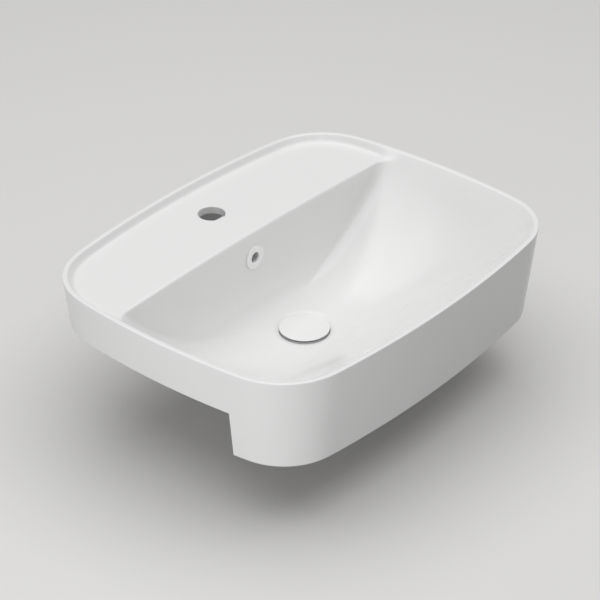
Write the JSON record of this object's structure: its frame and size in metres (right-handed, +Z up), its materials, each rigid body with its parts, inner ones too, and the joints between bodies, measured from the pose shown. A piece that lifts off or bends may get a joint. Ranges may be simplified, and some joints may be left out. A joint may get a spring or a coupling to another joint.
{
  "type": "semi recessed basin",
  "caption": "Semi recessed white ceramic wash basin with a raised lip, a flat tap deck with a hole, an overflow, and a push-to-click waste whose cap lifts.",
  "frame": {"origin": "middle of the back foot, in the plane of the counter's top surface on which the back half stands", "axes": "+Z up out of the counter, +Y towards the wall behind the basin, +X to the right of someone who stands at it"},
  "size_m": [0.5494, 0.4374, 0.214],
  "materials": {
    "basin_body": "gloss white glaze",
    "overflow_ring": "gloss white",
    "waste_body": "polished chrome plate",
    "flange_seal": "black rubber",
    "lower_gasket": "black rubber",
    "slip_washer": "natural white plastic",
    "back_nut": "machined brass",
    "cartridge_housing": "turned brass",
    "cartridge_nut": "machined brass",
    "guide_bush": "black acetal",
    "stem_o_ring": "black rubber",
    "return_spring": "stainless wire",
    "plunger": "turned stainless",
    "ratchet_ring": "natural acetal",
    "cap_carrier": "polished chrome plate",
    "cap_seal": "black rubber",
    "waste_cap": "gloss white enamel"
  },
  "bodies": {
    "basin": {"basin_body": "basin_body", "overflow_ring": "overflow_ring", "waste_body": "waste_body", "flange_seal": "flange_seal", "lower_gasket": "lower_gasket", "slip_washer": "slip_washer", "back_nut": "back_nut", "cartridge_housing": "cartridge_housing", "cartridge_nut": "cartridge_nut", "guide_bush": "guide_bush", "stem_o_ring": "stem_o_ring", "return_spring": "return_spring"},
    "cap": {"waste_cap": "waste_cap", "cap_carrier": "cap_carrier", "cap_seal": "cap_seal", "plunger": "plunger"},
    "ratchet": {"ratchet_ring": "ratchet_ring"}
  },
  "joints": [
    {"name": "cap_lift", "type": "slide", "parent": "basin", "child": "cap", "axis": [0, 0, 1], "range_m": [0, 0.009], "deforming": ["return_spring"]},
    {"name": "ratchet_turn", "type": "hinge", "parent": "cap", "child": "ratchet", "pos_m": [0, -0.20559, -0.088], "axis": [0, 0, 1], "range_deg": [0, 45]}
  ],
  "couplings": [
    {"joint": "ratchet_turn", "follows": "cap_lift", "rad_per_m": 87.266}
  ]
}
